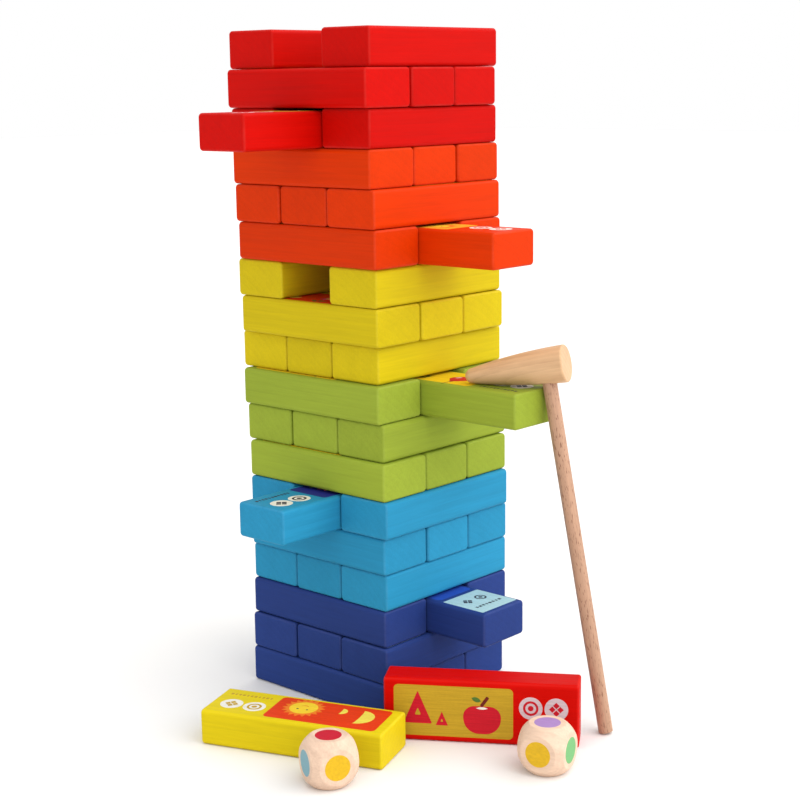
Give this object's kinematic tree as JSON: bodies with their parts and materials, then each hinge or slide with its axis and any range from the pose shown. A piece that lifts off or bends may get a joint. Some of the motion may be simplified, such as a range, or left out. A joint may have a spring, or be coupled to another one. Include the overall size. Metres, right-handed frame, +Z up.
{
  "type": "wooden tumbling tower game",
  "caption": "Stacking game: coloured wooden blocks laid crosswise in a tower, some drawn out, with loose blocks, a small mallet and colour dice.",
  "frame": {"origin": "centre of the tower's underside, on the surface it stands on", "axes": "+Z up the tower; odd courses run along X and even courses along Y; the front of the tower faces -Y"},
  "size_m": [0.1654, 0.1438, 0.2699],
  "materials": {
    "red_block_wood": "satin stain that shows a little grain",
    "orange_block_wood": "satin stain that shows a little grain",
    "yellow_block_wood": "satin stain that shows a little grain",
    "lime_block_wood": "satin stain that shows a little grain",
    "light_blue_block_wood": "satin stain that shows a little grain",
    "dark_blue_block_wood": "satin stain that shows a little grain",
    "mallet_head_wood": "smooth pale turned wood, clear satin lacquer",
    "mallet_handle_beech": "plain sanded beech with short dark flecks",
    "dice_wood": "plain sanded pale wood",
    "block_print": "thin printed ink, satin",
    "dice_paint": "brushed-on matt paint"
  },
  "bodies": {
    "tower_base": {"dark_blue_block_01_front": "dark_blue_block_wood", "dark_blue_block_01_middle": "dark_blue_block_wood", "dark_blue_block_01_back": "dark_blue_block_wood"},
    "dark_blue_block_02_left": {"dark_blue_block_02_left": "dark_blue_block_wood"},
    "dark_blue_block_02_middle": {"dark_blue_block_02_middle": "dark_blue_block_wood"},
    "dark_blue_block_02_right": {"dark_blue_block_02_right": "dark_blue_block_wood"},
    "dark_blue_block_03_front": {"dark_blue_block_03_front": "dark_blue_block_wood"},
    "dark_blue_block_03_middle": {"dark_blue_block_03_middle": "dark_blue_block_wood"},
    "dark_blue_block_03_back": {"dark_blue_block_03_back": "dark_blue_block_wood"},
    "light_blue_block_04_left": {"light_blue_block_04_left": "light_blue_block_wood"},
    "light_blue_block_04_middle": {"light_blue_block_04_middle": "light_blue_block_wood"},
    "light_blue_block_04_right": {"light_blue_block_04_right": "light_blue_block_wood"},
    "light_blue_block_05_front": {"light_blue_block_05_front": "light_blue_block_wood"},
    "light_blue_block_05_middle": {"light_blue_block_05_middle": "light_blue_block_wood"},
    "light_blue_block_05_back": {"light_blue_block_05_back": "light_blue_block_wood"},
    "light_blue_block_06_left": {"light_blue_block_06_left": "light_blue_block_wood"},
    "light_blue_block_06_middle": {"light_blue_block_06_middle": "light_blue_block_wood"},
    "light_blue_block_06_right": {"light_blue_block_06_right": "light_blue_block_wood"},
    "lime_block_07_front": {"lime_block_07_front": "lime_block_wood"},
    "lime_block_07_middle": {"lime_block_07_middle": "lime_block_wood"},
    "lime_block_07_back": {"lime_block_07_back": "lime_block_wood"},
    "lime_block_08_left": {"lime_block_08_left": "lime_block_wood"},
    "lime_block_08_middle": {"lime_block_08_middle": "lime_block_wood"},
    "lime_block_08_right": {"lime_block_08_right": "lime_block_wood"},
    "lime_block_09_front": {"lime_block_09_front": "lime_block_wood"},
    "lime_block_09_middle": {"lime_block_09_middle": "lime_block_wood"},
    "lime_block_09_back": {"lime_block_09_back": "lime_block_wood"},
    "yellow_block_10_left": {"yellow_block_10_left": "yellow_block_wood"},
    "yellow_block_10_middle": {"yellow_block_10_middle": "yellow_block_wood"},
    "yellow_block_10_right": {"yellow_block_10_right": "yellow_block_wood"},
    "yellow_block_11_front": {"yellow_block_11_front": "yellow_block_wood"},
    "yellow_block_11_middle": {"yellow_block_11_middle": "yellow_block_wood"},
    "yellow_block_11_back": {"yellow_block_11_back": "yellow_block_wood"},
    "yellow_block_12_left": {"yellow_block_12_left": "yellow_block_wood"},
    "yellow_block_12_right": {"yellow_block_12_right": "yellow_block_wood"},
    "orange_block_13_front": {"orange_block_13_front": "orange_block_wood"},
    "orange_block_13_middle": {"orange_block_13_middle": "orange_block_wood"},
    "orange_block_13_back": {"orange_block_13_back": "orange_block_wood"},
    "orange_block_14_left": {"orange_block_14_left": "orange_block_wood"},
    "orange_block_14_middle": {"orange_block_14_middle": "orange_block_wood"},
    "orange_block_14_right": {"orange_block_14_right": "orange_block_wood"},
    "orange_block_15_front": {"orange_block_15_front": "orange_block_wood"},
    "orange_block_15_middle": {"orange_block_15_middle": "orange_block_wood"},
    "orange_block_15_back": {"orange_block_15_back": "orange_block_wood"},
    "red_block_16_left": {"red_block_16_left": "red_block_wood"},
    "red_block_16_middle": {"red_block_16_middle": "red_block_wood"},
    "red_block_16_right": {"red_block_16_right": "red_block_wood"},
    "red_block_17_front": {"red_block_17_front": "red_block_wood"},
    "red_block_17_middle": {"red_block_17_middle": "red_block_wood"},
    "red_block_17_back": {"red_block_17_back": "red_block_wood"},
    "red_block_18_left": {"red_block_18_left": "red_block_wood"},
    "red_block_18_right": {"red_block_18_right": "red_block_wood"},
    "mallet": {"mallet_head": "mallet_head_wood", "mallet_handle": "mallet_handle_beech"},
    "yellow_block_loose": {"yellow_block_loose": "yellow_block_wood"},
    "red_block_loose": {"red_block_loose": "red_block_wood"},
    "die_left": {"die_left": "dice_wood"},
    "die_right": {"die_right": "dice_wood"}
  },
  "joints": [
    {"name": "mallet_pull_away", "type": "slide", "parent": "tower_base", "child": "mallet", "axis": [1, 0, 0], "range_m": [0, 0.1]},
    {"name": "yellow_block_lift", "type": "slide", "parent": "tower_base", "child": "yellow_block_loose", "axis": [0, 0, 1], "range_m": [0, 0.05]},
    {"name": "red_block_lift", "type": "slide", "parent": "tower_base", "child": "red_block_loose", "axis": [0, 0, 1], "range_m": [0, 0.05]},
    {"name": "die_left_lift", "type": "slide", "parent": "tower_base", "child": "die_left", "axis": [0, 0, 1], "range_m": [0, 0.05]},
    {"name": "die_right_lift", "type": "slide", "parent": "tower_base", "child": "die_right", "axis": [0, 0, 1], "range_m": [0, 0.05]},
    {"name": "red_block_16_middle_draw", "type": "slide", "parent": "tower_base", "child": "red_block_16_middle", "axis": [0, 1, 0], "range_m": [-0.039, 0.121]},
    {"name": "orange_block_13_middle_draw", "type": "slide", "parent": "tower_base", "child": "orange_block_13_middle", "axis": [-1, 0, 0], "range_m": [-0.043, 0.117]},
    {"name": "lime_block_09_middle_draw", "type": "slide", "parent": "tower_base", "child": "lime_block_09_middle", "axis": [-1, 0, 0], "range_m": [0, 0.125]},
    {"name": "light_blue_block_06_middle_draw", "type": "slide", "parent": "tower_base", "child": "light_blue_block_06_middle", "axis": [0, 1, 0], "range_m": [-0.048, 0.111]},
    {"name": "dark_blue_block_03_middle_draw", "type": "slide", "parent": "tower_base", "child": "dark_blue_block_03_middle", "axis": [-1, 0, 0], "range_m": [-0.03, 0.109]},
    {"name": "red_block_18_left_draw", "type": "slide", "parent": "tower_base", "child": "red_block_18_left", "axis": [0, 1, 0], "range_m": [-0.079, 0.08]},
    {"name": "red_block_18_right_draw", "type": "slide", "parent": "tower_base", "child": "red_block_18_right", "axis": [0, 1, 0], "range_m": [-0.079, 0.08]},
    {"name": "red_block_17_back_draw", "type": "slide", "parent": "tower_base", "child": "red_block_17_back", "axis": [-1, 0, 0], "range_m": [-0.08, 0.08]},
    {"name": "red_block_17_front_draw", "type": "slide", "parent": "tower_base", "child": "red_block_17_front", "axis": [-1, 0, 0], "range_m": [-0.08, 0.079]},
    {"name": "red_block_17_middle_draw", "type": "slide", "parent": "tower_base", "child": "red_block_17_middle", "axis": [-1, 0, 0], "range_m": [-0.079, 0.08]},
    {"name": "red_block_16_left_draw", "type": "slide", "parent": "tower_base", "child": "red_block_16_left", "axis": [0, 1, 0], "range_m": [-0.078, 0.081]},
    {"name": "red_block_16_right_draw", "type": "slide", "parent": "tower_base", "child": "red_block_16_right", "axis": [0, 1, 0], "range_m": [-0.078, 0.081]},
    {"name": "orange_block_15_back_draw", "type": "slide", "parent": "tower_base", "child": "orange_block_15_back", "axis": [-1, 0, 0], "range_m": [-0.081, 0.078]},
    {"name": "orange_block_15_front_draw", "type": "slide", "parent": "tower_base", "child": "orange_block_15_front", "axis": [-1, 0, 0], "range_m": [-0.081, 0.078]},
    {"name": "orange_block_15_middle_draw", "type": "slide", "parent": "tower_base", "child": "orange_block_15_middle", "axis": [-1, 0, 0], "range_m": [-0.081, 0.078]},
    {"name": "orange_block_14_left_draw", "type": "slide", "parent": "tower_base", "child": "orange_block_14_left", "axis": [0, 1, 0], "range_m": [-0.078, 0.081]},
    {"name": "orange_block_14_middle_draw", "type": "slide", "parent": "tower_base", "child": "orange_block_14_middle", "axis": [0, 1, 0], "range_m": [-0.078, 0.081]},
    {"name": "orange_block_14_right_draw", "type": "slide", "parent": "tower_base", "child": "orange_block_14_right", "axis": [0, 1, 0], "range_m": [-0.078, 0.081]},
    {"name": "orange_block_13_back_draw", "type": "slide", "parent": "tower_base", "child": "orange_block_13_back", "axis": [-1, 0, 0], "range_m": [-0.079, 0.08]},
    {"name": "orange_block_13_front_draw", "type": "slide", "parent": "tower_base", "child": "orange_block_13_front", "axis": [-1, 0, 0], "range_m": [-0.079, 0.08]},
    {"name": "yellow_block_12_left_draw", "type": "slide", "parent": "tower_base", "child": "yellow_block_12_left", "axis": [0, 1, 0], "range_m": [-0.079, 0.08]},
    {"name": "yellow_block_12_right_draw", "type": "slide", "parent": "tower_base", "child": "yellow_block_12_right", "axis": [0, 1, 0], "range_m": [-0.079, 0.08]},
    {"name": "yellow_block_11_back_draw", "type": "slide", "parent": "tower_base", "child": "yellow_block_11_back", "axis": [-1, 0, 0], "range_m": [-0.042, 0.08]},
    {"name": "yellow_block_11_front_draw", "type": "slide", "parent": "tower_base", "child": "yellow_block_11_front", "axis": [-1, 0, 0], "range_m": [-0.079, 0.08]},
    {"name": "yellow_block_11_middle_draw", "type": "slide", "parent": "tower_base", "child": "yellow_block_11_middle", "axis": [-1, 0, 0], "range_m": [-0.042, 0.08]},
    {"name": "yellow_block_10_left_draw", "type": "slide", "parent": "tower_base", "child": "yellow_block_10_left", "axis": [0, 1, 0], "range_m": [-0.083, 0.076]},
    {"name": "yellow_block_10_middle_draw", "type": "slide", "parent": "tower_base", "child": "yellow_block_10_middle", "axis": [0, 1, 0], "range_m": [-0.082, 0.077]},
    {"name": "yellow_block_10_right_draw", "type": "slide", "parent": "tower_base", "child": "yellow_block_10_right", "axis": [0, 1, 0], "range_m": [-0.082, 0.077]},
    {"name": "lime_block_09_back_draw", "type": "slide", "parent": "tower_base", "child": "lime_block_09_back", "axis": [-1, 0, 0], "range_m": [-0.08, 0.079]},
    {"name": "lime_block_09_front_draw", "type": "slide", "parent": "tower_base", "child": "lime_block_09_front", "axis": [-1, 0, 0], "range_m": [-0.08, 0.079]},
    {"name": "lime_block_08_left_draw", "type": "slide", "parent": "tower_base", "child": "lime_block_08_left", "axis": [0, 1, 0], "range_m": [-0.081, 0.078]},
    {"name": "lime_block_08_middle_draw", "type": "slide", "parent": "tower_base", "child": "lime_block_08_middle", "axis": [0, 1, 0], "range_m": [-0.081, 0.078]},
    {"name": "lime_block_08_right_draw", "type": "slide", "parent": "tower_base", "child": "lime_block_08_right", "axis": [0, 1, 0], "range_m": [-0.081, 0.078]},
    {"name": "lime_block_07_back_draw", "type": "slide", "parent": "tower_base", "child": "lime_block_07_back", "axis": [-1, 0, 0], "range_m": [-0.078, 0.081]},
    {"name": "lime_block_07_front_draw", "type": "slide", "parent": "tower_base", "child": "lime_block_07_front", "axis": [-1, 0, 0], "range_m": [-0.077, 0.082]},
    {"name": "lime_block_07_middle_draw", "type": "slide", "parent": "tower_base", "child": "lime_block_07_middle", "axis": [-1, 0, 0], "range_m": [-0.046, 0.082]},
    {"name": "light_blue_block_06_left_draw", "type": "slide", "parent": "tower_base", "child": "light_blue_block_06_left", "axis": [0, 1, 0], "range_m": [-0.079, 0.08]},
    {"name": "light_blue_block_06_right_draw", "type": "slide", "parent": "tower_base", "child": "light_blue_block_06_right", "axis": [0, 1, 0], "range_m": [-0.079, 0.08]},
    {"name": "light_blue_block_05_back_draw", "type": "slide", "parent": "tower_base", "child": "light_blue_block_05_back", "axis": [-1, 0, 0], "range_m": [-0.078, 0.081]},
    {"name": "light_blue_block_05_front_draw", "type": "slide", "parent": "tower_base", "child": "light_blue_block_05_front", "axis": [-1, 0, 0], "range_m": [-0.078, 0.081]},
    {"name": "light_blue_block_05_middle_draw", "type": "slide", "parent": "tower_base", "child": "light_blue_block_05_middle", "axis": [-1, 0, 0], "range_m": [-0.052, 0.081]},
    {"name": "light_blue_block_04_left_draw", "type": "slide", "parent": "tower_base", "child": "light_blue_block_04_left", "axis": [0, 1, 0], "range_m": [-0.082, 0.077]},
    {"name": "light_blue_block_04_middle_draw", "type": "slide", "parent": "tower_base", "child": "light_blue_block_04_middle", "axis": [0, 1, 0], "range_m": [-0.082, 0.077]},
    {"name": "light_blue_block_04_right_draw", "type": "slide", "parent": "tower_base", "child": "light_blue_block_04_right", "axis": [0, 1, 0], "range_m": [-0.081, 0.078]},
    {"name": "dark_blue_block_03_back_draw", "type": "slide", "parent": "tower_base", "child": "dark_blue_block_03_back", "axis": [-1, 0, 0], "range_m": [-0.079, 0.08]},
    {"name": "dark_blue_block_03_front_draw", "type": "slide", "parent": "tower_base", "child": "dark_blue_block_03_front", "axis": [-1, 0, 0], "range_m": [-0.079, 0.08]},
    {"name": "dark_blue_block_02_left_draw", "type": "slide", "parent": "tower_base", "child": "dark_blue_block_02_left", "axis": [0, 1, 0], "range_m": [-0.08, 0.079]},
    {"name": "dark_blue_block_02_middle_draw", "type": "slide", "parent": "tower_base", "child": "dark_blue_block_02_middle", "axis": [0, 1, 0], "range_m": [-0.08, 0.079]},
    {"name": "dark_blue_block_02_right_draw", "type": "slide", "parent": "tower_base", "child": "dark_blue_block_02_right", "axis": [0, 1, 0], "range_m": [-0.08, 0.079]}
  ]
}
